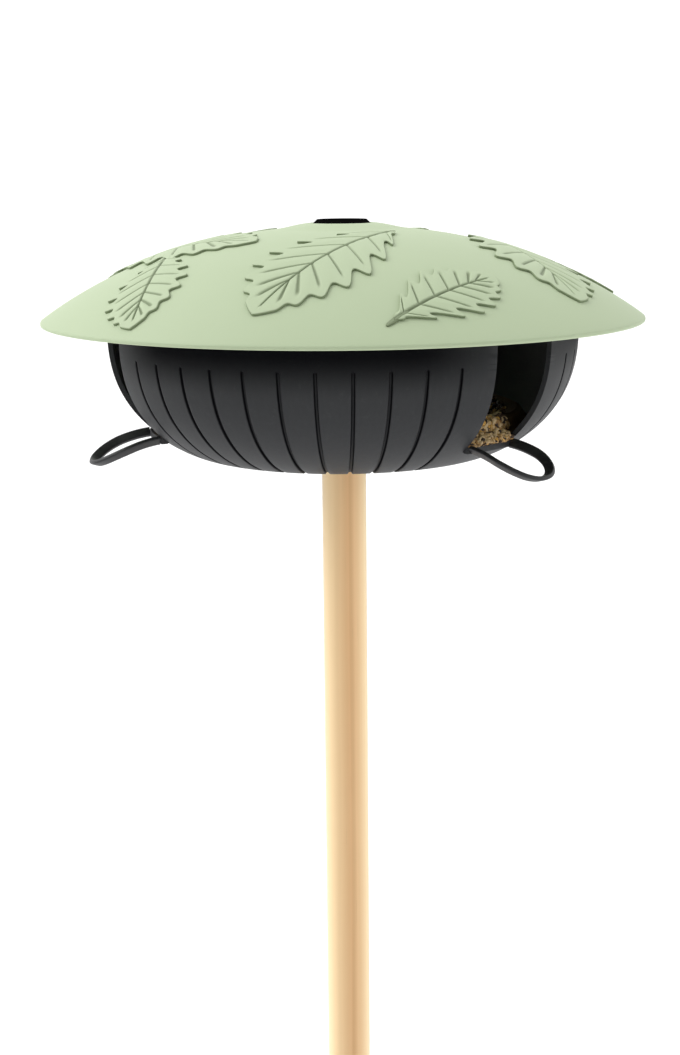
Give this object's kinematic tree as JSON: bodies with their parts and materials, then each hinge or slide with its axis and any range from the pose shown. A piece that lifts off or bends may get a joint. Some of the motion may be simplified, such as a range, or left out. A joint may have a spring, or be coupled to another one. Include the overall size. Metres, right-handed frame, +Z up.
{
  "type": "bird feeder",
  "caption": "Round seed feeder on a wooden pole: ribbed bowl with loop perches at its feeding openings, under a leaf-embossed domed roof that lifts off once its top knob is turned.",
  "frame": {"origin": "On the pole's axis at ground level, at the shoulder of the pole's turned foot", "axes": "+Z up along the pole, -Y towards the front, which is the middle of the panel between the two front openings; the third opening is at the back on +Y"},
  "size_m": [0.37, 0.37, 1.2777],
  "materials": {
    "pale_wood": "satin",
    "anthracite_plastic": "satin",
    "column_plastic": "matte",
    "perch_plastic": "satin",
    "sage_plastic": "matte",
    "cap_plastic": "satin",
    "zinc_steel": "satin",
    "washer_rubber": "matte",
    "mixed_seed": "matte"
  },
  "bodies": {
    "stand": {"pole": "pale_wood", "bowl": "anthracite_plastic", "column": "column_plastic", "floor_screws": "zinc_steel", "pole_screw": "zinc_steel", "pole_washer": "zinc_steel", "seed_cone": "column_plastic", "seed_fill": "mixed_seed", "perch_front_left": "perch_plastic", "perch_front_right": "perch_plastic", "perch_rear": "perch_plastic"},
    "roof": {"roof": "sage_plastic", "roof_washer": "washer_rubber"},
    "knob": {"lock_knob": "cap_plastic", "knob_clip": "zinc_steel", "cross_pin": "zinc_steel"}
  },
  "joints": [
    {"name": "roof_lift", "type": "slide", "parent": "stand", "child": "roof", "axis": [0, 0, 1], "range_m": [0, 0.15]},
    {"name": "knob_turn", "type": "hinge", "parent": "roof", "child": "knob", "pos_m": [0, 0, 1.0889], "axis": [0, 0, 1], "range_deg": [0, 90]}
  ]
}
